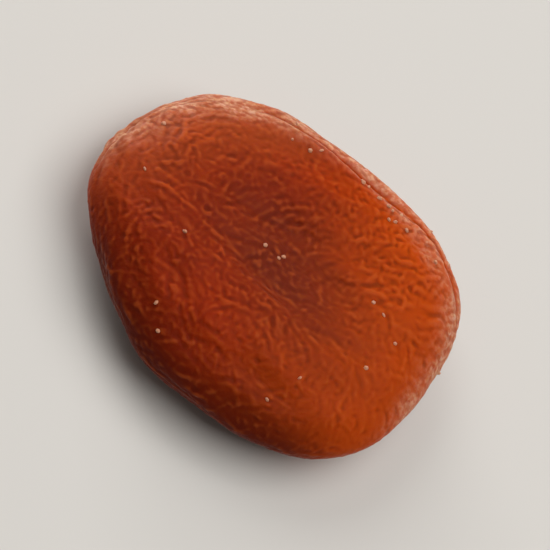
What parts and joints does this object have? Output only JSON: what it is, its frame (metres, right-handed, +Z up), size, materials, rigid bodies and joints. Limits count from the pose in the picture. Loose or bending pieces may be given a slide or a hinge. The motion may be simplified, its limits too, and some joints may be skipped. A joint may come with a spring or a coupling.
{
  "type": "dried apricot",
  "caption": "Whole pitted dried apricot: a plump oval disc with a dished face, a soft seam round one side and a puckered stem scar, resting on its domed underside.",
  "frame": {"origin": "on the surface that the fruit rests on, below the middle of its bounding box", "axes": "+Z up out of the dished face; +X along the fruit's length, from the stem scar to the blunt tip; the seam runs along the +Y shoulder"},
  "size_m": [0.0398, 0.0318, 0.0114],
  "materials": {
    "skin": "soft satin, wrinkled and faintly translucent"
  },
  "bodies": {
    "root": {"dried_apricot": "skin"}
  },
  "joints": []
}
